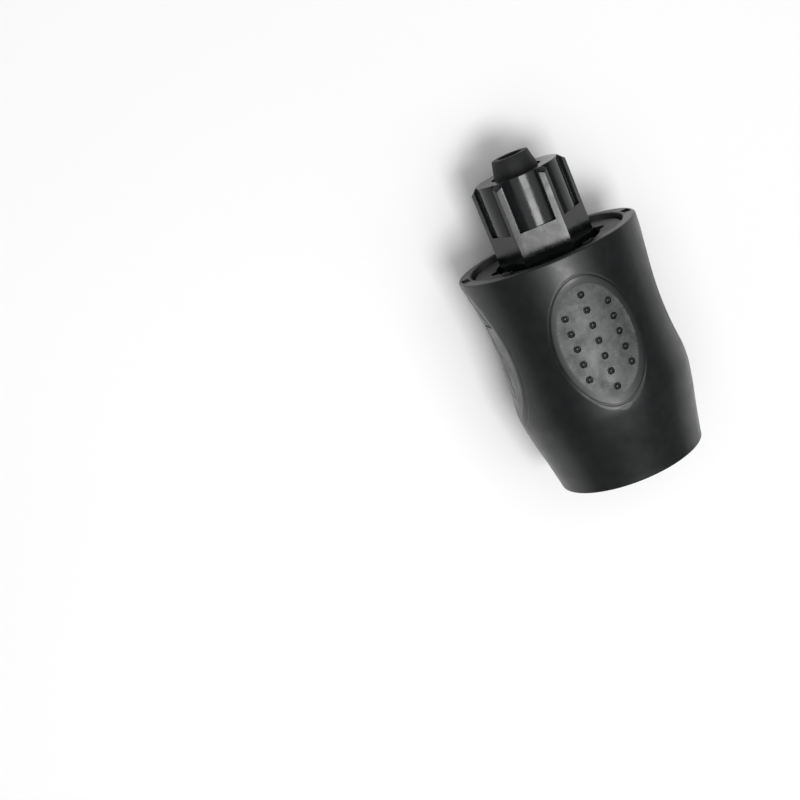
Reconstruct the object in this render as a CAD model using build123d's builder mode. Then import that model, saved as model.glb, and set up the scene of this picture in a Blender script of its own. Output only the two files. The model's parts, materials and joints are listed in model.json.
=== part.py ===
from build123d import *
from math import cos, radians, sin
import os

# Push-pull cable connector, lying on its side.
# +X leaves the mating face, +Z passes through a dotted thumb pad, and the
# origin is the centre of the mating face, just inside the front rim of the
# sleeve. "Rear" is the cable end, at -X.

# --- coupling sleeve ---
SLEEVE_FRONT_X = 1.2
SLEEVE_REAR_X = -57.0
SLEEVE_FRONT_RADIUS = 18.4
CREST_X = -18.2
CREST_RADIUS = 22.1
REAR_RADIUS_ARROW = 22.9
REAR_RADIUS_DOTS = 21.5
SLEEVE_FRONT_BORE = 16.0
LATCH_POCKET_RADIUS = 17.2
SPRING_BORE = 18.2
SPRING_SHOULDER_X = -20.0
END_RING_SEAT_RADIUS = 19.6
END_RING_SEAT_X = -53.0
END_RING_REAR_X = -55.8
END_RING_HOLE = 13.4
NOTCH_CENTRE = 12.7
NOTCH_RADIUS = 2.2
TAB_CIRCLE = 14.3
TAB_TURN = 57.0
TAB_DEPTH = 1.4
TAB_WIDTH = 2.7
CREST_FLAT = 22.0
REAR_FLAT = 21.55

# --- thumb pads ---
DOTS_PAD_MID_X = -36.4
DOTS_PAD_RADIUS = 21.0
DOTS_PAD_ARC = 150.0
DOTS_PAD_CROSS_RADIUS = 37.1
ARROW_PAD_MID_X = -36.0
ARROW_PAD_RADIUS = 20.8
ARROW_PAD_ARC = 95.0
ARROW_PAD_CROSS_RADIUS = 40.4
DIMPLE_MID_X = -35.5
POCKET_CENTRE = 21.2
POCKET_WIDTH = 1.8
POCKET_LENGTH = 5.0
POCKET_DEPTH = 0.5
DIMPLE_RADIUS = 0.85
DIMPLE_DEPTH = 0.5
DIMPLE_PITCH = 3.9
DIMPLE_COLUMN_GAP = 5.56
ARROW_LENGTH = 28.0
ARROW_HEAD_LENGTH = 8.2
ARROW_HEAD_HALF_WIDTH = 8.0
ARROW_SHAFT_HALF_WIDTH = 3.0
ARROW_TIP_X = -53.5
ARROW_LINE = 0.5
ARROW_DEPTH = 0.3

# --- inner body ---
BODY_RADIUS = 15.6
MOUTH_RADIUS = 13.5
MOUTH_DEPTH = 8.8
SOCKET_RADIUS = 13.3
REAR_BORE_RADIUS = 13.1
BODY_REAR_X = -48.0
LIP_FRONT_X = -22.0
LIP_REAR_X = -24.0
LIP_BORE = 9.0
TOWER_RADIUS = 8.7
TOWER_FRONT_X = -9.0
INSERT_REAR_X = -28.0
BLOCK_REAR_X = -42.0
RUN = 0.05

# --- contacts ---
CONTACT_CIRCLE = 4.5
CONTACT_ANGLES = {"contact_line": 210, "contact_neutral": 330, "contact_earth": 90}
CONTACT_TIP_X = -10.5
CONTACT_TUBE_RADIUS = 1.85
CONTACT_BORE = 1.25
BARREL_RADIUS = 3.0
BARREL_REAR_X = -41.0
SCREW_X = -36.5
SCREW_RADIUS = 1.24

# --- latch arms ---
PIVOT_X = -17.5
PIVOT_Y = 14.45
PIVOT_RADIUS = 0.6
PIVOT_HALF_LENGTH = 4.0
ARM_HALF_WIDTH = 2.8
ARM_OUTER_RADIUS = 15.5

# --- keys that stop the sleeve turning ---
KEY_RADIUS = 16.55
KEY_WIDTH = 3.0
KEY_REAR_X = -19.8
KEY_LENGTH = 7.0
KEY_SLOT_RADIUS = 16.8
KEY_SLOT_LENGTH = 13.0

# --- spring, collar and snap ring ---
COLLAR_FRONT_X = -44.0
COLLAR_REAR_X = -46.0
SPRING_COILS = 6
SPRING_RADIUS = 16.9
WIRE_RADIUS = 0.55
SNAP_GROOVE_RADIUS = 15.0
SNAP_RING_THICKNESS = 1.15

# --- cable gland ---
NECK_RADIUS = 7.75
NECK_BORE = 6.3
NECK_END_X = -68.0
CABLE_BORE = 3.0
NUT_FRONT_X = -53.0
NUT_END_X = -76.5
NUT_TURN = 8.5
NUT_ACROSS_FLATS = 20.8
NUT_THREAD_BORE = 7.9
NUT_CHAMBER_RADIUS = 7.4
NUT_END_HOLE = 6.25
NUT_END_CHAMFER = 1.5
WINDOW_WIDTH = 8.9
WINDOW_LENGTH = 12.6
WINDOW_DRUM_RADIUS = 10.3
NIPPLE_END_X = -80.7
NIPPLE_BASE_RADIUS = 5.6
NIPPLE_TIP_RADIUS = 4.55

os.makedirs("parts", exist_ok=True)


def outline(*points):
    """Closed outline of (x, radius) points in the plane through the axis."""
    with BuildSketch(Plane.XZ, mode=Mode.PRIVATE) as sketch:
        with BuildLine():
            Polyline(*points, close=True)
        make_face()
    return sketch.sketch


def outside_pad(mid_x, radius, arc, cross_radius):
    """Region beyond a pad's saddle surface, and the axis to turn it about.

    The saddle is hollow along the sleeve (arc) and crowned across it (cross_radius).
    """
    half = 26.0
    rise = half * half / (2 * arc)
    outer = radius + 12
    with BuildSketch(Plane.XZ, mode=Mode.PRIVATE) as sketch:
        with BuildLine():
            ends = (mid_x - half, radius + rise), (mid_x + half, radius + rise)
            ThreePointArc(ends[0], (mid_x, radius), ends[1])
            Polyline(ends[1], (mid_x + half, outer), (mid_x - half, outer), ends[0])
        make_face()
    return sketch.sketch, Axis((0, 0, radius - cross_radius), (1, 0, 0))


def save(builder, node):
    """Label one finished piece and write it to its own file."""
    builder.part.label = node
    export_step(builder.part, f"parts/{node}.step")


# ---------------------------------------------------------------- sleeve

dots_pad, dots_axis = outside_pad(DOTS_PAD_MID_X, DOTS_PAD_RADIUS, DOTS_PAD_ARC, DOTS_PAD_CROSS_RADIUS)
dots_floor, dots_floor_axis = outside_pad(
    DOTS_PAD_MID_X, DOTS_PAD_RADIUS - DIMPLE_DEPTH, DOTS_PAD_ARC, DOTS_PAD_CROSS_RADIUS
)
arrow_pad, arrow_axis = outside_pad(
    ARROW_PAD_MID_X, ARROW_PAD_RADIUS, ARROW_PAD_ARC, ARROW_PAD_CROSS_RADIUS
)
arrow_floor, arrow_floor_axis = outside_pad(
    ARROW_PAD_MID_X, ARROW_PAD_RADIUS - ARROW_DEPTH, ARROW_PAD_ARC, ARROW_PAD_CROSS_RADIUS
)

# the saddle cut of each kind of pad, made at +Z
with BuildPart() as dots_relief:
    revolve(dots_pad, axis=dots_axis)

with BuildPart() as arrow_relief:
    revolve(arrow_pad, axis=arrow_axis)

# seventeen blind dimples in three columns: five, seven and five
with BuildPart() as dimples:
    with BuildSketch(Plane.XY.offset(CREST_RADIUS - 4)):
        with Locations((DIMPLE_MID_X, 0)):
            with GridLocations(DIMPLE_PITCH, 1, 7, 1):
                Circle(DIMPLE_RADIUS)
            with GridLocations(DIMPLE_PITCH, 2 * DIMPLE_COLUMN_GAP, 5, 2):
                Circle(DIMPLE_RADIUS)
    extrude(amount=6)
    revolve(dots_floor, axis=dots_floor_axis, mode=Mode.INTERSECT)

# engraved outline of the release arrow, pointing to the cable
arrow_tail_x = ARROW_TIP_X + ARROW_LENGTH
arrow_neck_x = ARROW_TIP_X + ARROW_HEAD_LENGTH
with BuildPart() as arrow_line:
    with BuildSketch(Plane.XY.offset(CREST_RADIUS - 4)) as arrow_sketch:
        with BuildLine():
            Polyline(
                (ARROW_TIP_X, 0),
                (arrow_neck_x, ARROW_HEAD_HALF_WIDTH),
                (arrow_neck_x, ARROW_SHAFT_HALF_WIDTH),
                (arrow_tail_x, ARROW_SHAFT_HALF_WIDTH),
                (arrow_tail_x, -ARROW_SHAFT_HALF_WIDTH),
                (arrow_neck_x, -ARROW_SHAFT_HALF_WIDTH),
                (arrow_neck_x, -ARROW_HEAD_HALF_WIDTH),
                close=True,
            )
        make_face()
        offset(amount=-ARROW_LINE, kind=Kind.INTERSECTION, mode=Mode.SUBTRACT)
    extrude(amount=6)
    revolve(arrow_floor, axis=arrow_floor_axis, mode=Mode.INTERSECT)

with BuildPart() as coupling_sleeve:
    # straight, slightly oval grip from the crest to the rear rim
    for x, arrow_radius, dots_radius in (
        (CREST_X, CREST_RADIUS, CREST_RADIUS),
        (-32.0, CREST_RADIUS, CREST_RADIUS),
        (-46.0, CREST_RADIUS + 0.25, CREST_RADIUS - 0.25),
        (SLEEVE_REAR_X, REAR_RADIUS_ARROW, REAR_RADIUS_DOTS),
    ):
        with BuildSketch(Plane.YZ.offset(x)):
            Ellipse(arrow_radius, dots_radius)
    loft()
    # taper from the crest to the front rim
    revolve(
        outline(
            (SLEEVE_FRONT_X, 0),
            (SLEEVE_FRONT_X, SLEEVE_FRONT_RADIUS - 0.2),
            (SLEEVE_FRONT_X - 0.2, SLEEVE_FRONT_RADIUS),
            (-6.0, 19.75),
            (-12.0, 21.05),
            (CREST_X, CREST_RADIUS),
            (CREST_X, 0),
        ),
        axis=Axis.X,
    )
    # bore: latch pocket, guide land, spring space and end-ring seat
    revolve(
        outline(
            (SLEEVE_FRONT_X + 1, 0),
            (SLEEVE_FRONT_X + 1, SLEEVE_FRONT_BORE),
            (-2.5, SLEEVE_FRONT_BORE),
            (-3.0, LATCH_POCKET_RADIUS),
            (-7.0, LATCH_POCKET_RADIUS),
            (-12.5, SLEEVE_FRONT_BORE),
            (SPRING_SHOULDER_X, SLEEVE_FRONT_BORE),
            (SPRING_SHOULDER_X, SPRING_BORE),
            (END_RING_SEAT_X, SPRING_BORE),
            (END_RING_SEAT_X, END_RING_SEAT_RADIUS),
            (SLEEVE_REAR_X - 1, END_RING_SEAT_RADIUS),
            (SLEEVE_REAR_X - 1, 0),
        ),
        axis=Axis.X,
        mode=Mode.SUBTRACT,
    )
    for turn in (0, 180):
        add(dots_relief.part.rotate(Axis.X, turn), mode=Mode.SUBTRACT)
        add(dimples.part.rotate(Axis.X, turn), mode=Mode.SUBTRACT)
        add(arrow_relief.part.rotate(Axis.X, turn + 90), mode=Mode.SUBTRACT)
        add(arrow_line.part.rotate(Axis.X, turn + 90), mode=Mode.SUBTRACT)
    # slots for the body's two keys
    with BuildSketch(Plane.YZ.offset(SPRING_SHOULDER_X)):
        with Locations((0, KEY_SLOT_RADIUS - 1.5), (0, 1.5 - KEY_SLOT_RADIUS)):
            Rectangle(KEY_WIDTH + 0.3, 3.0)
    extrude(amount=KEY_SLOT_LENGTH, mode=Mode.SUBTRACT)
    # narrow resting flats on the crest and ahead of the rear rim
    for mid_x, length, height in ((CREST_X, 6, CREST_FLAT), (-54.0, 8, REAR_FLAT)):
        with Locations((mid_x, 0, height + 1), (mid_x, 0, -height - 1)):
            Box(length, 14, 2, mode=Mode.SUBTRACT)
    # small pocket in the rim at each end of its long axis
    with BuildSketch(Plane.YZ.offset(SLEEVE_REAR_X)):
        with Locations((POCKET_CENTRE, 0), (-POCKET_CENTRE, 0)):
            Rectangle(POCKET_WIDTH, POCKET_LENGTH)
    extrude(amount=POCKET_DEPTH, mode=Mode.SUBTRACT)
save(coupling_sleeve, "coupling_sleeve")

with BuildPart() as sleeve_end_ring:
    revolve(
        outline(
            (COLLAR_REAR_X - 0.1, 17.0),
            (COLLAR_REAR_X - 0.1, 18.1),
            (END_RING_SEAT_X - RUN, 18.1),
            (END_RING_SEAT_X - RUN, END_RING_SEAT_RADIUS - RUN),
            (END_RING_REAR_X + 0.6, END_RING_SEAT_RADIUS - RUN),
            (END_RING_REAR_X + 0.6, 18.9),
            (END_RING_REAR_X, 18.9),
            (END_RING_REAR_X, END_RING_HOLE),
            (END_RING_REAR_X + 1.8, END_RING_HOLE),
            (END_RING_REAR_X + 1.8, 17.0),
        ),
        axis=Axis.X,
    )
    # a round notch each side of the hole
    with BuildSketch(Plane.YZ.offset(END_RING_REAR_X - 1)):
        with Locations((NOTCH_CENTRE, 0), (-NOTCH_CENTRE, 0)):
            Circle(NOTCH_RADIUS)
    extrude(amount=4, mode=Mode.SUBTRACT)
    # four low arched snap tabs round the hole
    with BuildSketch(Plane.YZ.offset(END_RING_REAR_X + 0.2)):
        with PolarLocations(TAB_CIRCLE, 4, start_angle=TAB_TURN):
            Rectangle(TAB_DEPTH, TAB_WIDTH)
            with Locations((-0.45, 0)):
                Rectangle(TAB_DEPTH / 2, TAB_WIDTH - 1.2, mode=Mode.SUBTRACT)
    extrude(amount=-0.8)
save(sleeve_end_ring, "sleeve_end_ring")

# ---------------------------------------------------------------- inner body

with BuildPart() as body_shell:
    snap_rear_x = COLLAR_REAR_X - RUN - SNAP_RING_THICKNESS - RUN
    revolve(
        outline(
            (0, BODY_RADIUS),
            (COLLAR_REAR_X, BODY_RADIUS),
            (COLLAR_REAR_X, SNAP_GROOVE_RADIUS),
            (snap_rear_x, SNAP_GROOVE_RADIUS),
            (snap_rear_x, BODY_RADIUS),
            (BODY_REAR_X, BODY_RADIUS),
            (BODY_REAR_X, REAR_BORE_RADIUS),
            (LIP_REAR_X, REAR_BORE_RADIUS),
            (LIP_REAR_X, LIP_BORE),
            (LIP_FRONT_X, LIP_BORE),
            (LIP_FRONT_X, SOCKET_RADIUS),
            (-MOUTH_DEPTH, SOCKET_RADIUS),
            (-MOUTH_DEPTH, MOUTH_RADIUS),
            (0, MOUTH_RADIUS),
        ),
        axis=Axis.X,
    )
    # keys that run in the sleeve's slots
    with BuildSketch(Plane.YZ.offset(KEY_REAR_X)):
        with Locations((0, KEY_RADIUS - 0.8), (0, 0.8 - KEY_RADIUS)):
            Rectangle(KEY_WIDTH, 1.6)
    extrude(amount=KEY_LENGTH)
    # windows for the two latch arms
    with BuildSketch(Plane.XY.offset(-ARM_HALF_WIDTH - 0.2)):
        with Locations((-15.3, 14.5), (-15.3, -14.5)):
            Rectangle(12.6, 5)
    extrude(amount=2 * (ARM_HALF_WIDTH + 0.2), mode=Mode.SUBTRACT)
    # cross holes for the latch pins
    with BuildSketch(Plane.XY.offset(-PIVOT_HALF_LENGTH)):
        with Locations((PIVOT_X, PIVOT_Y), (PIVOT_X, -PIVOT_Y)):
            Circle(PIVOT_RADIUS + 0.01)
    extrude(amount=2 * PIVOT_HALF_LENGTH, mode=Mode.SUBTRACT)
save(body_shell, "body_shell")

with BuildPart() as latch_pins:
    with BuildSketch(Plane.XY.offset(-PIVOT_HALF_LENGTH + RUN)):
        with Locations((PIVOT_X, PIVOT_Y), (PIVOT_X, -PIVOT_Y)):
            Circle(PIVOT_RADIUS)
    extrude(amount=2 * (PIVOT_HALF_LENGTH - RUN))
save(latch_pins, "latch_pins")

# rocker with a hook that drops into the plug's groove
with BuildPart() as latch_arm:
    with BuildSketch(Plane.XY.offset(-ARM_HALF_WIDTH)):
        with BuildLine():
            Polyline(
                (-9.5, 17.0),
                (-21.0, 17.0),
                (-21.0, 14.4),
                (-19.5, 13.5),
                (-14.5, 13.5),
                (-13.5, 13.9),
                (-11.6, 13.9),
                (-11.6, 12.4),
                (-10.4, 12.4),
                (-9.5, 13.3),
                close=True,
            )
        make_face()
        with Locations((PIVOT_X, PIVOT_Y)):
            Circle(PIVOT_RADIUS + RUN, mode=Mode.SUBTRACT)
    extrude(amount=2 * ARM_HALF_WIDTH)
    revolve(
        outline((-5, 0), (-5, ARM_OUTER_RADIUS), (-25, ARM_OUTER_RADIUS), (-25, 0)),
        axis=Axis.X,
        mode=Mode.INTERSECT,
    )

for node, turn in (("latch_arm_left", 0), ("latch_arm_right", 180)):
    with BuildPart() as arm:
        add(latch_arm.part.rotate(Axis.X, turn))
    save(arm, node)

with BuildPart() as interface_seal:
    revolve(
        outline(
            (LIP_FRONT_X, 9.3),
            (LIP_FRONT_X, 13.1),
            (-20.6, 13.1),
            (-20.6, 12.2),
            (-20.0, 11.6),
            (-20.0, 10.8),
            (-20.6, 10.2),
            (-20.6, 9.3),
        ),
        axis=Axis.X,
    )
save(interface_seal, "interface_seal")

contact_centres = {
    name: (CONTACT_CIRCLE * cos(radians(angle)), CONTACT_CIRCLE * sin(radians(angle)))
    for name, angle in CONTACT_ANGLES.items()
}

with BuildPart() as contact_insert:
    revolve(
        outline(
            (TOWER_FRONT_X, 0),
            (TOWER_FRONT_X, TOWER_RADIUS - 0.6),
            (TOWER_FRONT_X - 0.6, TOWER_RADIUS),
            (LIP_REAR_X - RUN, TOWER_RADIUS),
            (LIP_REAR_X - RUN, REAR_BORE_RADIUS - 0.1),
            (INSERT_REAR_X, REAR_BORE_RADIUS - 0.1),
            (INSERT_REAR_X, 0),
        ),
        axis=Axis.X,
    )
    # polarising rib
    with BuildSketch(Plane.YZ.offset(-19.5)):
        with Locations((TOWER_RADIUS, 0)):
            Rectangle(2.0, 2.4)
    extrude(amount=9.5)
    # small pin entries in front, contact holes behind them
    with BuildSketch(Plane.YZ.offset(TOWER_FRONT_X)):
        with Locations(*contact_centres.values()):
            Circle(CONTACT_BORE + 0.2)
    extrude(amount=-6, mode=Mode.SUBTRACT)
    with BuildSketch(Plane.YZ.offset(CONTACT_TIP_X + 0.1)):
        with Locations(*contact_centres.values()):
            Circle(CONTACT_TUBE_RADIUS + RUN)
    extrude(amount=-20, mode=Mode.SUBTRACT)
save(contact_insert, "contact_insert")


def radial_plane(name, distance):
    """Plane square to the line from the axis through a contact, facing outward."""
    turn = radians(CONTACT_ANGLES[name])
    outward = Vector(0, cos(turn), sin(turn))
    return Plane(origin=Vector(SCREW_X, 0, 0) + outward * distance, z_dir=outward)


with BuildPart() as terminal_block:
    revolve(
        outline(
            (INSERT_REAR_X - RUN, 0),
            (INSERT_REAR_X - RUN, REAR_BORE_RADIUS - 0.2),
            (BLOCK_REAR_X, REAR_BORE_RADIUS - 0.2),
            (BLOCK_REAR_X, 0),
        ),
        axis=Axis.X,
    )
    with BuildSketch(Plane.YZ.offset(BLOCK_REAR_X)):
        with Locations(*contact_centres.values()):
            Circle(BARREL_RADIUS + RUN)
    extrude(amount=15, mode=Mode.SUBTRACT)
    for name in CONTACT_ANGLES:
        with BuildSketch(radial_plane(name, CONTACT_CIRCLE)):
            Circle(1.9)
        extrude(amount=10, mode=Mode.SUBTRACT)
save(terminal_block, "terminal_block")

for name, centre in contact_centres.items():
    with BuildPart() as contact:
        # split socket in front, screw barrel behind
        with BuildSketch(Plane.YZ.offset(CONTACT_TIP_X)):
            with Locations(centre):
                Circle(CONTACT_TUBE_RADIUS)
        extrude(amount=-18)
        with BuildSketch(Plane.YZ.offset(INSERT_REAR_X - 2 * RUN)):
            with Locations(centre):
                Circle(BARREL_RADIUS)
        extrude(amount=BARREL_REAR_X - INSERT_REAR_X)
        with BuildSketch(Plane.YZ.offset(CONTACT_TIP_X)):
            with Locations(centre):
                Circle(CONTACT_BORE)
        extrude(amount=-13, mode=Mode.SUBTRACT)
        with BuildSketch(Plane.YZ.offset(CONTACT_TIP_X)):
            with Locations(centre):
                Rectangle(0.4, 5)
        extrude(amount=-7, mode=Mode.SUBTRACT)
        with BuildSketch(Plane.YZ.offset(BARREL_REAR_X - 1)):
            with Locations(centre):
                Circle(1.6)
        extrude(amount=10.5, mode=Mode.SUBTRACT)
        with BuildSketch(radial_plane(name, CONTACT_CIRCLE)):
            Circle(SCREW_RADIUS + 0.01)
        extrude(amount=6, mode=Mode.SUBTRACT)
    save(contact, name)

with BuildPart() as terminal_screws:
    for name in CONTACT_ANGLES:
        with BuildSketch(radial_plane(name, CONTACT_CIRCLE + 0.8)):
            Circle(SCREW_RADIUS)
        extrude(amount=3.4)
        with BuildSketch(radial_plane(name, CONTACT_CIRCLE + 3.6)):
            Rectangle(0.5, 4)
        extrude(amount=1, mode=Mode.SUBTRACT)
save(terminal_screws, "terminal_screws")

# ---------------------------------------------------------------- spring group

with BuildPart() as spring_collar:
    revolve(
        outline(
            (COLLAR_FRONT_X, BODY_RADIUS + RUN),
            (COLLAR_FRONT_X, SPRING_BORE - 0.2),
            (COLLAR_REAR_X, SPRING_BORE - 0.2),
            (COLLAR_REAR_X, BODY_RADIUS + RUN),
        ),
        axis=Axis.X,
    )
save(spring_collar, "spring_collar")

with BuildPart() as snap_ring:
    with BuildSketch(Plane.YZ.offset(COLLAR_REAR_X - RUN)):
        Circle(16.8)
        Circle(SNAP_GROOVE_RADIUS + RUN, mode=Mode.SUBTRACT)
        with Locations((0, 16)):
            Rectangle(5, 4, mode=Mode.SUBTRACT)
    extrude(amount=-SNAP_RING_THICKNESS)
save(snap_ring, "snap_ring")

spring_front_x = SPRING_SHOULDER_X - WIRE_RADIUS - 0.1
spring_length = spring_front_x - COLLAR_FRONT_X - WIRE_RADIUS - 0.1
with BuildPart() as return_spring:
    with BuildLine():
        coil = Helix(
            pitch=spring_length / SPRING_COILS,
            height=spring_length,
            radius=SPRING_RADIUS,
            center=(spring_front_x, 0, 0),
            direction=(-1, 0, 0),
        )
    with BuildSketch(Plane(origin=coil @ 0, z_dir=coil % 0)):
        Circle(WIRE_RADIUS)
    sweep(is_frenet=True)
save(return_spring, "return_spring")

# ---------------------------------------------------------------- cable gland

with BuildPart() as rear_housing:
    revolve(
        outline(
            (BLOCK_REAR_X - 0.2, REAR_BORE_RADIUS - 0.1),
            (-44.9, REAR_BORE_RADIUS - 0.1),
            (-44.9, 11.8),
            (-46.5, 11.8),
            (-46.5, REAR_BORE_RADIUS - 0.1),
            (BODY_REAR_X - RUN, REAR_BORE_RADIUS - 0.1),
            (BODY_REAR_X - RUN, BODY_RADIUS),
            (-50.0, BODY_RADIUS),
            (-51.0, 11.0),
            (-52.0, NECK_RADIUS),
            (NECK_END_X + 0.6, NECK_RADIUS),
            (NECK_END_X, NECK_RADIUS - 0.6),
            (NECK_END_X, NECK_BORE),
            (-50.0, NECK_BORE),
            (-46.0, 9.5),
            (BLOCK_REAR_X - 0.2, 9.5),
        ),
        axis=Axis.X,
    )
save(rear_housing, "rear_housing")

with BuildPart() as housing_o_ring:
    with BuildSketch(Plane.XZ):
        with Locations((-45.7, 12.44)):
            Circle(0.62)
    revolve(axis=Axis.X)
save(housing_o_ring, "housing_o_ring")

with BuildPart() as cable_grommet:
    revolve(
        outline(
            (-56.0, CABLE_BORE),
            (-56.0, NECK_BORE - 0.1),
            (-59.8, NECK_BORE - 0.1),
            (-59.8, 5.1),
            (-69.8, 5.1),
            (-69.8, NIPPLE_BASE_RADIUS),
            (NUT_END_X, NIPPLE_BASE_RADIUS),
            (NIPPLE_END_X, NIPPLE_TIP_RADIUS),
            (NIPPLE_END_X, CABLE_BORE),
        ),
        axis=Axis.X,
    )
save(cable_grommet, "cable_grommet")

with BuildPart() as strain_relief_cage:
    revolve(
        outline(
            (-60.0, 5.2),
            (-60.0, NECK_BORE - 0.1),
            (NECK_END_X - RUN, NECK_BORE - 0.1),
            (NECK_END_X - RUN, 7.15),
            (-69.4, 7.15),
            (-73.3, 6.9),
            (-73.3, 5.75),
            (-69.4, 5.75),
            (-69.4, 5.2),
        ),
        axis=Axis.X,
    )
    # slits that part the clamping fingers
    with BuildSketch(Plane.YZ.offset(-75)):
        with PolarLocations(6.4, 6):
            Rectangle(3, 0.8)
    extrude(amount=5.4, mode=Mode.SUBTRACT)
save(strain_relief_cage, "strain_relief_cage")

with BuildPart() as thrust_washer:
    revolve(outline((-73.5, 5.8), (-73.5, 7.25), (-74.4, 7.25), (-74.4, 5.8)), axis=Axis.X)
save(thrust_washer, "thrust_washer")

nut_corner_radius = NUT_ACROSS_FLATS / 2 / cos(radians(30))
window_front_x = NUT_END_X + WINDOW_LENGTH
with BuildPart() as gland_nut:
    with BuildSketch(Plane.YZ.offset(NUT_END_X)):
        RegularPolygon(NUT_ACROSS_FLATS / 2, 6, major_radius=False, rotation=NUT_TURN)
    extrude(amount=NUT_FRONT_X - NUT_END_X)
    # a window in each flat leaves a rib at each corner
    with BuildSketch(Plane.YZ.offset(NUT_END_X)):
        with PolarLocations(NUT_ACROSS_FLATS / 2, 6, start_angle=30 + NUT_TURN):
            Rectangle(6, WINDOW_WIDTH)
    extrude(amount=WINDOW_LENGTH, mode=Mode.SUBTRACT)
    with BuildSketch(Plane.YZ.offset(NUT_END_X)):
        Circle(WINDOW_DRUM_RADIUS)
    extrude(amount=WINDOW_LENGTH)
    # chamfered corners at the end, lightly eased at the front
    revolve(
        outline(
            (NUT_END_X, 0),
            (NUT_END_X, nut_corner_radius - NUT_END_CHAMFER),
            (NUT_END_X + NUT_END_CHAMFER, nut_corner_radius),
            (NUT_FRONT_X - 0.5, nut_corner_radius),
            (NUT_FRONT_X, nut_corner_radius - 0.5),
            (NUT_FRONT_X, 0),
        ),
        axis=Axis.X,
        mode=Mode.INTERSECT,
    )
    revolve(
        outline(
            (NUT_FRONT_X + 1, 0),
            (NUT_FRONT_X + 1, NUT_THREAD_BORE),
            (-69.5, NUT_THREAD_BORE),
            (-69.5, NUT_CHAMBER_RADIUS),
            (NUT_END_X + 2, NUT_CHAMBER_RADIUS),
            (NUT_END_X + 2, NUT_END_HOLE),
            (NUT_END_X - 1, NUT_END_HOLE),
            (NUT_END_X - 1, 0),
        ),
        axis=Axis.X,
        mode=Mode.SUBTRACT,
    )
save(gland_nut, "gland_nut")
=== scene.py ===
import json
import math

import bmesh
import bpy
import numpy as np
from mathutils import Matrix, Vector


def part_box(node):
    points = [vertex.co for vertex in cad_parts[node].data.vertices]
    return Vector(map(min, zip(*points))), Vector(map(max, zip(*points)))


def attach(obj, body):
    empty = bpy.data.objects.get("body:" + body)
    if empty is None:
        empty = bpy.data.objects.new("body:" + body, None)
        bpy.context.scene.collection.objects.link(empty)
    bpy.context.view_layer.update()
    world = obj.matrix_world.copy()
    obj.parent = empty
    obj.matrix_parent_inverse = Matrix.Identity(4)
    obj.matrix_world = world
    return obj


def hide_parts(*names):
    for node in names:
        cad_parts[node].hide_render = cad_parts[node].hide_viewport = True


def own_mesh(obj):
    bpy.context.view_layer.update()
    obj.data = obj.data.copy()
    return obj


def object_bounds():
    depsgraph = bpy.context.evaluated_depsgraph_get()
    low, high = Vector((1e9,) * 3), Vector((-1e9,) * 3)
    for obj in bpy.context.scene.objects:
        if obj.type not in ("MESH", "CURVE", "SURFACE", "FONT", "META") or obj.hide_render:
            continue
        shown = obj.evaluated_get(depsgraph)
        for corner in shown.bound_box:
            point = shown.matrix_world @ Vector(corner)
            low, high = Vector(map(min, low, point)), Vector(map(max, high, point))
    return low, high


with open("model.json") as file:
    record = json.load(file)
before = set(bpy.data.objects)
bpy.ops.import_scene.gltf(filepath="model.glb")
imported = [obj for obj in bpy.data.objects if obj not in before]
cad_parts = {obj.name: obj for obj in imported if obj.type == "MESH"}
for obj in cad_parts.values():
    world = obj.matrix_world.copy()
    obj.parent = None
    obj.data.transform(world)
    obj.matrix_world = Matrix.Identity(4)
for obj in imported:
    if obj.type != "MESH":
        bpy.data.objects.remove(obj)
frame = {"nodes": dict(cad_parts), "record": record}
cad_low, cad_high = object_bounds()

MM = 0.001
DEG = math.pi / 180
PLAIN_GLOSS = 0.36
HAIR = 0.005

# ------------------------------------------------------------------ materials


class Nodes:
    """A small helper that adds shader nodes and links them."""

    def __init__(self, name):
        self.material = bpy.data.materials.new(name)
        self.material.use_nodes = True
        self.tree = self.material.node_tree
        self.shader = self.tree.nodes["Principled BSDF"]
        self.shader.inputs["Specular IOR Level"].default_value = PLAIN_GLOSS
        self.place = self.tree.nodes.new("ShaderNodeTexCoord").outputs["Object"]

    def noise(self, scale, detail=2.0, roughness=0.5, stretch=None):
        node = self.tree.nodes.new("ShaderNodeTexNoise")
        node.inputs["Scale"].default_value = scale
        node.inputs["Detail"].default_value = detail
        node.inputs["Roughness"].default_value = roughness
        source = self.place
        if stretch:
            mapping = self.tree.nodes.new("ShaderNodeMapping")
            mapping.inputs["Scale"].default_value = stretch
            self.tree.links.new(source, mapping.inputs["Vector"])
            source = mapping.outputs["Vector"]
        self.tree.links.new(source, node.inputs["Vector"])
        return node.outputs["Fac"]

    def ramp(self, value, low, high, start=0.3, end=0.7):
        node = self.tree.nodes.new("ShaderNodeValToRGB")
        node.color_ramp.elements[0].position = start
        node.color_ramp.elements[0].color = (*low, 1)
        node.color_ramp.elements[1].position = end
        node.color_ramp.elements[1].color = (*high, 1)
        self.tree.links.new(value, node.inputs["Fac"])
        return node.outputs["Color"]

    def spread(self, value, low, high):
        node = self.tree.nodes.new("ShaderNodeMapRange")
        node.inputs["From Min"].default_value = 0.3
        node.inputs["From Max"].default_value = 0.7
        node.inputs["To Min"].default_value = low
        node.inputs["To Max"].default_value = high
        self.tree.links.new(value, node.inputs["Value"])
        return node.outputs["Result"]

    def bump(self, value, distance, strength, before=None):
        node = self.tree.nodes.new("ShaderNodeBump")
        node.inputs["Distance"].default_value = distance
        node.inputs["Strength"].default_value = strength
        self.tree.links.new(value, node.inputs["Height"])
        if before:
            self.tree.links.new(before, node.inputs["Normal"])
        return node.outputs["Normal"]

    def put(self, socket, value):
        self.tree.links.new(value, self.shader.inputs[socket])


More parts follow.
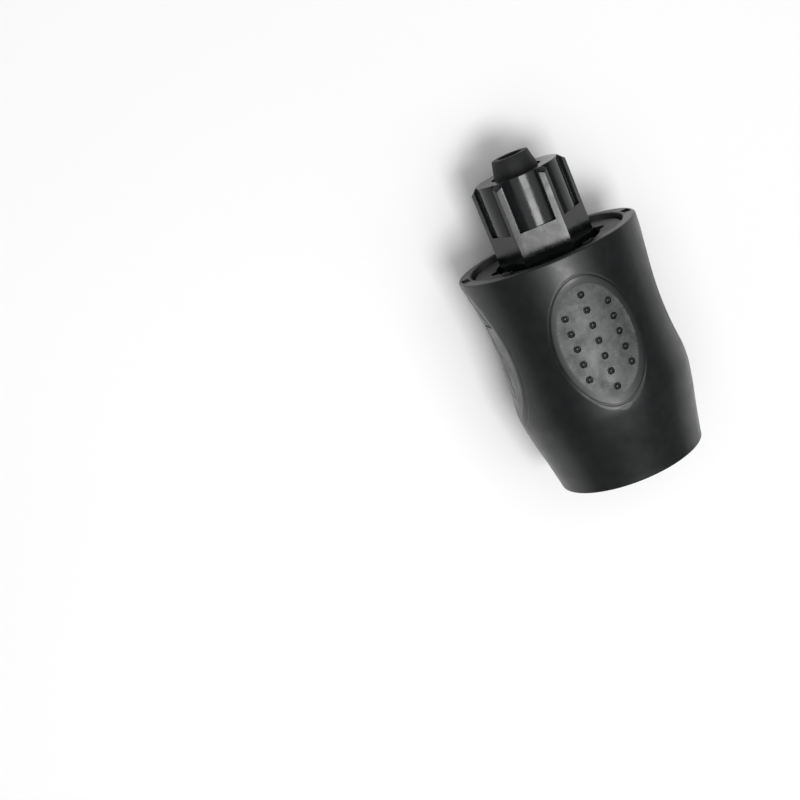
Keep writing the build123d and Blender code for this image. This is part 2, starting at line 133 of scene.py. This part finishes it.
def plastic(
    name, dark, light, rough, grain, grain_depth,
    ripple=0.0, ripple_scale=110, mottle=(420, 3, 0.5), gloss=PLAIN_GLOSS,
):
    """Moulded plastic: faint mottling, uneven gloss, fine spark-eroded grain and slight flow ripple."""
    m = Nodes(name)
    m.shader.inputs["Specular IOR Level"].default_value = gloss
    m.put("Base Color", m.ramp(m.noise(*mottle), dark, light))
    m.put("Roughness", m.spread(m.noise(260, 4, 0.6), *rough))
    normal = m.bump(m.noise(grain, 3, 0.7), grain_depth, 0.5)
    if ripple:
        normal = m.bump(m.noise(ripple_scale, 2), ripple, 0.4, normal)
    m.put("Normal", normal)
    return m.material


def metal(name, dark, light, rough, stretch):
    """Turned or drawn metal with fine lines along or round it."""
    m = Nodes(name)
    m.put("Base Color", m.ramp(m.noise(900, 3), dark, light))
    lines = m.noise(2200, 2, 0.6, stretch)
    m.put("Roughness", m.spread(lines, *rough))
    m.put("Normal", m.bump(lines, 4e-6, 0.4))
    m.shader.inputs["Metallic"].default_value = 1.0
    return m.material


SLEEVE = plastic(
    "sleeve_satin", (0.0062, 0.0070, 0.0073), (0.0095, 0.0103, 0.0106), (0.30, 0.40), 9000, 1.2e-5, 4e-5
)
PAD = plastic(
    "pad_grain", (0.004, 0.0044, 0.0045), (0.088, 0.091, 0.0915), (0.28, 0.50), 4200, 7e-5, 8e-5,
    mottle=(330, 9, 0.78),
)
BODY = plastic("body_satin", (0.0055, 0.0062, 0.0065), (0.009, 0.0097, 0.01), (0.36, 0.5), 8000, 1.5e-5)
NUT = plastic(
    "nut_gloss", (0.0050, 0.0058, 0.0061), (0.0085, 0.0092, 0.0095), (0.10, 0.24), 7000, 3e-6, 6e-5,
    ripple_scale=300, gloss=0.25,
)
INSERT = plastic("insert_matte", (0.006, 0.0065, 0.007), (0.010, 0.0105, 0.011), (0.48, 0.62), 7500, 1.8e-5)
RUBBER = plastic("seal_rubber_matte", (0.0085, 0.009, 0.0095), (0.0145, 0.015, 0.0155), (0.6, 0.76), 4200, 3e-5)
BRASS = metal("contact_brass_plated", (0.62, 0.47, 0.22), (0.82, 0.68, 0.40), (0.2, 0.34), (1, 0.15, 0.15))
STEEL = metal("spring_steel_bright", (0.48, 0.49, 0.5), (0.68, 0.69, 0.7), (0.22, 0.36), (0.2, 1, 1))

SLOT_MATERIAL = {
    "sleeve_plastic": SLEEVE,
    "body_plastic": BODY,
    "nut_plastic": NUT,
    "insert_plastic": INSERT,
    "seal_rubber": RUBBER,
    "contact_brass": BRASS,
    "spring_steel": STEEL,
}

# ------------------------------------------------------------------ CAD pieces that keep their shape

node_slot = {row["node"]: row["material_slot"] for row in frame["record"]["subparts"]}
EASED = {
    "gland_nut": 0.22,
    "sleeve_end_ring": 0.12,
    "body_shell": 0.12,
    "cable_grommet": 0.15,
    "contact_insert": 0.12,
    "rear_housing": 0.12,
}
for node, piece in frame["nodes"].items():
    piece.data.materials.clear()
    piece.data.materials.append(SLOT_MATERIAL[node_slot[node]])
    if node in EASED:
        weld = piece.modifiers.new("weld", "WELD")
        weld.merge_threshold = 2e-6
        edge = piece.modifiers.new("eased_edges", "BEVEL")
        edge.width = EASED[node] * MM
        edge.segments = 2
        edge.limit_method = "ANGLE"
        edge.angle_limit = math.radians(32)
        piece.modifiers.new("even_shading", "WEIGHTED_NORMAL")

# ------------------------------------------------------------------ grip sleeve

sleeve_low, sleeve_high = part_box("coupling_sleeve")
FRONT_X, REAR_X = sleeve_high.x / MM, sleeve_low.x / MM
REAR_ARROW = sleeve_high.y / MM
TALLEST = sleeve_high.z / MM
REAR_DOTS = 21.5
REAR_FLAT = 21.55
CREST_X, CREST = -18.2, 22.1
REAR_OVAL = 0.25
FRONT = 18.4
FRONT_ROUND, REAR_ROUND = 0.3, 0.45

# depths of the marks in the surface, and how far each pad's grain reaches towards its outline
PAD_STEP, OUTLINE_GROOVE, OUTLINE_WIDTH, GRAIN_SHARE = 0.07, 0.07, 0.015, 0.86
# the last pair marks each dimple's sunken ring, which is kept off the pad grain so the darker sleeve plastic
# paints shade into it
DIMPLE_DEPTH, DIMPLE_DOME, DIMPLE_SHADE_RING = 0.46, 0.92, (0.34, 0.86)
ARROW_DEPTH, ARROW_LINE = 0.3, 0.6
PARTING_DEPTH, PARTING_WIDTH, PARTING_START_X = 0.05, 0.14, -17.0

STATIONS = np.array([REAR_X, -46.0, -32.0, CREST_X, -12.0, -6.0, FRONT_X])
RADIUS_Y = np.array([REAR_ARROW, CREST + REAR_OVAL, CREST, CREST, 21.05, 19.75, FRONT])
RADIUS_Z = np.array([REAR_DOTS, CREST - REAR_OVAL, CREST, CREST, 21.05, 19.75, FRONT])

# each pad: middle, radius at its middle, hollow along, crown across, outline half length and half width
DOTS = {"mid": -36.4, "radius": 21.0, "arc": 150.0, "cross": 37.1, "centre": -35.7, "half": (16.2, 10.5)}
ARROW = {"mid": -36.0, "radius": 20.8, "arc": 95.0, "cross": 40.4, "centre": -36.0, "half": (18.6, 11.6)}

DIMPLES = [(-35.5 + 3.9 * (i - 3), 0.0) for i in range(7)]
DIMPLES += [(-35.5 + 3.9 * (i - 2), side * 5.56) for i in range(5) for side in (-1, 1)]

ARROW_SHAPE = [(-53.5, 0), (-45.3, 8), (-45.3, 3), (-25.5, 3), (-25.5, -3), (-45.3, -3), (-45.3, -8)]


def smooth(low, high, value):
    t = np.clip((value - low) / (high - low), 0, 1)
    return t * t * (3 - 2 * t)


def along(x, values):
    """Radius along the sleeve, with the corners between stations softened."""
    total, weight = np.zeros_like(x), 0.0
    for shift in np.linspace(-2.4, 2.4, 9):
        share = math.exp(-((shift / 1.5) ** 2))
        total += share * np.interp(x + shift, STATIONS, values)
        weight += share
    return total / weight


def saddle(pad, x, angle):
    """Radius of a pad's saddle surface, at an angle from the middle of the pad."""
    offset = pad["radius"] - pad["cross"]
    reach = pad["cross"] + (x - pad["mid"]) ** 2 / (2 * pad["arc"])
    return offset * np.cos(angle) + np.sqrt(np.maximum(reach**2 - (offset * np.sin(angle)) ** 2, 1))


def edge_share(pad, x, side):
    """0 at the middle of a pad, 1 on its oval outline."""
    return np.sqrt(((x - pad["centre"]) / pad["half"][0]) ** 2 + (side / pad["half"][1]) ** 2)


def polygon_groove(x, side, points, width):
    """1 in the middle of a line of the given width just inside a polygon's outline, 0 outside the line."""
    nearest = np.full_like(x, 1e9)
    inside = np.zeros(x.shape, bool)
    for (ax, ay), (bx, by) in zip(points, points[1:] + points[:1]):
        length2 = (bx - ax) ** 2 + (by - ay) ** 2
        t = np.clip(((x - ax) * (bx - ax) + (side - ay) * (by - ay)) / length2, 0, 1)
        nearest = np.minimum(nearest, np.hypot(x - ax - t * (bx - ax), side - ay - t * (by - ay)))
        if ay != by:
            crosses = (side < ay) != (side < by)
            inside ^= crosses & (x < ax + (side - ay) * (bx - ax) / (by - ay))
    line = 1 - smooth(0.55, 1.0, np.abs(nearest - width / 2) / (width / 2))
    return np.where(inside, line, 0)


def outer_radius(x, turn):
    """Outside radius at x and at an angle from +Y towards +Z, and a mask of a pad's grain-textured floor. Each
    dimple's sunken ring is left out of that mask, so the ring takes the darker sleeve plastic as painted shade.
    """
    c, s = np.cos(turn), np.sin(turn)
    r = 1 / np.sqrt((c / along(x, RADIUS_Y)) ** 2 + (s / along(x, RADIUS_Z)) ** 2)
    grain_and_ring_shade = np.zeros_like(r)
    for pad, facing in ((DOTS, math.pi / 2), (DOTS, -math.pi / 2), (ARROW, 0.0), (ARROW, math.pi)):
        angle = (turn - facing + math.pi) % (2 * math.pi) - math.pi
        near = np.abs(angle) < 0.9
        side = r * np.sin(angle)
        share = np.where(near, edge_share(pad, x, side), 9)
        hollow = saddle(pad, x, np.where(near, angle, 0))
        r = np.where(near, np.minimum(r, hollow), r)
        # a bevelled band inside the outline, a fine groove on it
        r = r - np.where(near, PAD_STEP * (1 - smooth(0.76, 0.90, share)), 0)
        r = r - np.where(near, OUTLINE_GROOVE * np.exp(-(((share - 1.0) / OUTLINE_WIDTH) ** 2)), 0)
        if pad is DOTS:
            for px, py in DIMPLES:
                reach = np.hypot(x - px, side - py)
                well = 1 - smooth(0.70, 0.84, reach)
                dome = DIMPLE_DOME * (1 - smooth(0.22, 0.56, reach))
                r = r - np.where(near, DIMPLE_DEPTH * well * (1 - dome), 0)
        else:
            r = r - np.where(near, ARROW_DEPTH * polygon_groove(x, side, ARROW_SHAPE, ARROW_LINE), 0)
            # mould parting line from the pad to the front rim
            line = np.exp(-((side / PARTING_WIDTH) ** 2)) * (x > PARTING_START_X)
            r = r - np.where(near, PARTING_DEPTH * line, 0)
        rough = (share < GRAIN_SHARE) * 1.0
        # each dimple's sunken ring is left off the grain, so the darker sleeve plastic paints shade into it
        if pad is DOTS:
            for px, py in DIMPLES:
                reach = np.hypot(x - px, side - py)
                rough = np.where((reach > DIMPLE_SHADE_RING[0]) & (reach < DIMPLE_SHADE_RING[1]), 0, rough)
        grain_and_ring_shade = np.maximum(grain_and_ring_shade, np.where(near, rough, 0))
    # narrow resting flats keep the rounded sleeve from rolling
    tall = np.where((x > -30) | (s > 0), TALLEST, REAR_FLAT) - HAIR
    upright = np.abs(s) * r
    r = np.where(upright > tall, tall / np.maximum(np.abs(s), 0.5), r)
    return r, grain_and_ring_shade


def spaced(stops):
    """Lines with a given spacing between each pair of stops: [(start, spacing), ..., (end, None)]."""
    lines = []
    for (a, step), (b, _) in zip(stops, stops[1:]):
        lines += list(np.linspace(a, b, max(2, round(abs(b - a) / step) + 1))[:-1])
    return np.array(lines + [stops[-1][0]])


quarter = [(-24, 0.6), (24, 1.2), (62, 0.7), (71, 0.3), (109, 0.7), (118, 1.2), (156, 0.6)]
quarter += [(204, 1.2), (242, 0.7), (251, 0.3), (289, 0.7), (298, 1.2), (336, None)]
turns = spaced(quarter)[:-1] * DEG
front_edge_x, rear_edge_x = FRONT_X - FRONT_ROUND, REAR_X + REAR_ROUND
outer_x = spaced([(front_edge_x, 0.5), (-17.0, 0.13), (-54.0, 0.3), (rear_edge_x, None)])

rows, grain_and_ring_shade_rows = [], []


def add_row(x, r, grain_and_ring_shade=None):
    x = np.broadcast_to(x, turns.shape)
    r = np.broadcast_to(r, turns.shape)
    rows.append(np.stack([x, r * np.cos(turns), r * np.sin(turns)], -1) * MM)
    grain_and_ring_shade_rows.append(np.zeros(turns.shape) if grain_and_ring_shade is None else grain_and_ring_shade)


# rounded front edge, the outside, and the rounded rear edge
front_r, _ = outer_radius(np.full_like(turns, front_edge_x), turns)
for k in range(6):
    a = k / 5 * math.pi / 2
    add_row(front_edge_x + FRONT_ROUND * math.cos(a), front_r - FRONT_ROUND + FRONT_ROUND * math.sin(a))
for x in outer_x[1:]:
    r, grain_and_ring_shade = outer_radius(np.full_like(turns, x), turns)
    add_row(x, r, grain_and_ring_shade)
rear_r, _ = outer_radius(np.full_like(turns, rear_edge_x), turns)
for k in range(1, 6):
    a = k / 5 * math.pi / 2
    add_row(rear_edge_x - REAR_ROUND * math.sin(a), rear_r - REAR_ROUND + REAR_ROUND * math.cos(a))
# rear face, with a small pocket at each end of the rim's long axis
pocket_side = np.abs(rear_r * np.sin(turns)) < 2.5
for reach, depth in ((22.14, 0.0), (22.08, 0.5), (20.36, 0.5), (20.3, 0.0)):
    add_row(REAR_X + depth * pocket_side, np.minimum(reach, rear_r - 0.5))
# bore, from the rear to the front: ring seat, spring space, guide land with two key slots, latch pocket
SEAT, SPRING_SPACE, LAND, KEY_FLOOR, LATCH_POCKET = 19.6, 18.2, 16.0, 16.8, 17.2
key_slot = np.abs(LAND * np.cos(turns)) < 1.65
guide = np.where(key_slot, KEY_FLOOR, LAND)
add_row(REAR_X, SEAT + 0.2)
add_row(REAR_X + 0.2, SEAT)
add_row(-53.0, SEAT)
add_row(-53.0, SPRING_SPACE)
add_row(-20.0, SPRING_SPACE)
add_row(-20.0, guide)
add_row(-12.5, guide)
add_row(-7.0, LATCH_POCKET)
add_row(-3.0, LATCH_POCKET)
add_row(-2.5, LAND)
add_row(FRONT_X - 0.35, LAND)
add_row(FRONT_X - 0.25, LAND + 0.04)
add_row(FRONT_X, LAND + 0.3)

points = np.concatenate(rows)
grain_and_ring_shade = np.stack(grain_and_ring_shade_rows)
around, count = len(turns), len(rows)
faces, kinds = [], []
for i in range(count):
    j = (i + 1) % count
    for k in range(around):
        m = (k + 1) % around
        faces.append((i * around + k, i * around + m, j * around + m, j * around + k))
        kinds.append(int(grain_and_ring_shade[i, k] + grain_and_ring_shade[i, m] + grain_and_ring_shade[j, m] + grain_and_ring_shade[j, k] >= 3))
mesh = bpy.data.meshes.new("grip_sleeve")
mesh.from_pydata(points.tolist(), [], faces)
mesh.materials.append(SLEEVE)
mesh.materials.append(PAD)
# faces on the pad grain take the lighter pad plastic; all others take the sleeve plastic, and in each dimple
# that ring is painted shade
mesh.polygons.foreach_set("material_index", kinds)
mesh.polygons.foreach_set("use_smooth", [True] * len(faces))
check = bmesh.new()
check.from_mesh(mesh)
bmesh.ops.recalc_face_normals(check, faces=check.faces)
check.to_mesh(mesh)
check.free()
mesh.set_sharp_from_angle(angle=math.radians(50))
grip_sleeve = bpy.data.objects.new("grip_sleeve", mesh)
bpy.context.scene.collection.objects.link(grip_sleeve)
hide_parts("coupling_sleeve")
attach(grip_sleeve, "sleeve")

# ------------------------------------------------------------------ return spring

spring_low, spring_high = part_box("return_spring")
WIRE = 0.55 * MM
coil_radius = (spring_high.y - spring_low.y) / 2 - WIRE
start_x, end_x = spring_high.x - WIRE, spring_low.x + WIRE
COILS, STEPS, SIDES = 6, 48, 12
centres = []
for i in range(COILS * STEPS + 1):
    share = i / (COILS * STEPS)
    a = share * COILS * 2 * math.pi
    along_x = start_x + (end_x - start_x) * share
    centres.append(Vector((along_x, coil_radius * math.cos(a), coil_radius * math.sin(a))))
coil_points, coil_faces = [], []
for i, centre in enumerate(centres):
    ahead = (centres[min(i + 1, len(centres) - 1)] - centres[max(i - 1, 0)]).normalized()
    out = Vector((0, centre.y, centre.z)).normalized()
    across = ahead.cross(out).normalized()
    for k in range(SIDES):
        a = 2 * math.pi * k / SIDES
        coil_points.append(centre + WIRE * (math.cos(a) * out + math.sin(a) * across))
for i in range(len(centres) - 1):
    for k in range(SIDES):
        m = (k + 1) % SIDES
        coil_faces.append((i * SIDES + k, i * SIDES + m, (i + 1) * SIDES + m, (i + 1) * SIDES + k))
coil_faces.append(tuple(range(SIDES)))
coil_faces.append(tuple(reversed(range((len(centres) - 1) * SIDES, len(centres) * SIDES))))
coil_mesh = bpy.data.meshes.new("coil_spring")
coil_mesh.from_pydata([tuple(p) for p in coil_points], [], coil_faces)
coil_mesh.materials.append(STEEL)
coil_mesh.polygons.foreach_set("use_smooth", [True] * len(coil_faces))
coil_spring = bpy.data.objects.new("coil_spring", coil_mesh)
bpy.context.scene.collection.objects.link(coil_spring)
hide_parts("return_spring")
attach(coil_spring, "body")
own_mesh(coil_spring)

# ------------------------------------------------------------------ floor, light and camera

floor_mesh = bpy.data.meshes.new("floor")
maker = bmesh.new()
bmesh.ops.create_grid(maker, x_segments=8, y_segments=8, size=2.0)
maker.to_mesh(floor_mesh)
maker.free()
floor = bpy.data.objects.new("floor", floor_mesh)
floor.location = (0, 0, cad_low.z)
bpy.context.scene.collection.objects.link(floor)
paper = Nodes("pale_floor")
paper.put("Base Color", paper.ramp(paper.noise(3, 2), (0.9, 0.9, 0.9), (0.93, 0.93, 0.93)))
paper.shader.inputs["Roughness"].default_value = 0.9
floor_mesh.materials.append(paper.material)


def softbox(name, place, aim, size, power):
    light = bpy.data.lights.new(name, "AREA")
    light.shape = "RECTANGLE"
    light.size, light.size_y = size
    light.energy = power
    lamp = bpy.data.objects.new(name, light)
    lamp.location = place
    lamp.rotation_mode = "QUATERNION"
    lamp.rotation_quaternion = (Vector(aim) - Vector(place)).to_track_quat("-Z", "Y")
    bpy.context.scene.collection.objects.link(lamp)


middle = (-0.036, 0, 0)
softbox("key", (0.10, 0.01, 0.80), middle, (0.26, 0.22), 3.4)
softbox("overhead", (0.0, 0.0, 1.25), middle, (1.6, 1.6), 11.5)

world = bpy.data.worlds.new("studio")
world.use_nodes = True
world.node_tree.nodes["Background"].inputs["Color"].default_value = (1, 1, 1, 1)
world.node_tree.nodes["Background"].inputs["Strength"].default_value = 0.16
bpy.context.scene.world = world
bpy.context.scene.view_settings.view_transform = "Standard"

camera_place = Vector((-0.12181, -0.05464, 0.35167))
forward = Vector((0.2351, 0.0203, -0.9718)).normalized()
right = forward.cross(Vector((-0.8898, 0.4068, -0.2068))).normalized()
up = right.cross(forward)
lens = bpy.data.cameras.new("camera")
lens.sensor_width = 36
lens.lens = 66.6
lens.clip_start = 0.01
camera = bpy.data.objects.new("camera", lens)
camera.matrix_world = Matrix((
    (right.x, up.x, -forward.x, camera_place.x),
    (right.y, up.y, -forward.y, camera_place.y),
    (right.z, up.z, -forward.z, camera_place.z),
    (0, 0, 0, 1),
))
bpy.context.scene.collection.objects.link(camera)
bpy.context.scene.camera = camera

bpy.context.view_layer.update()
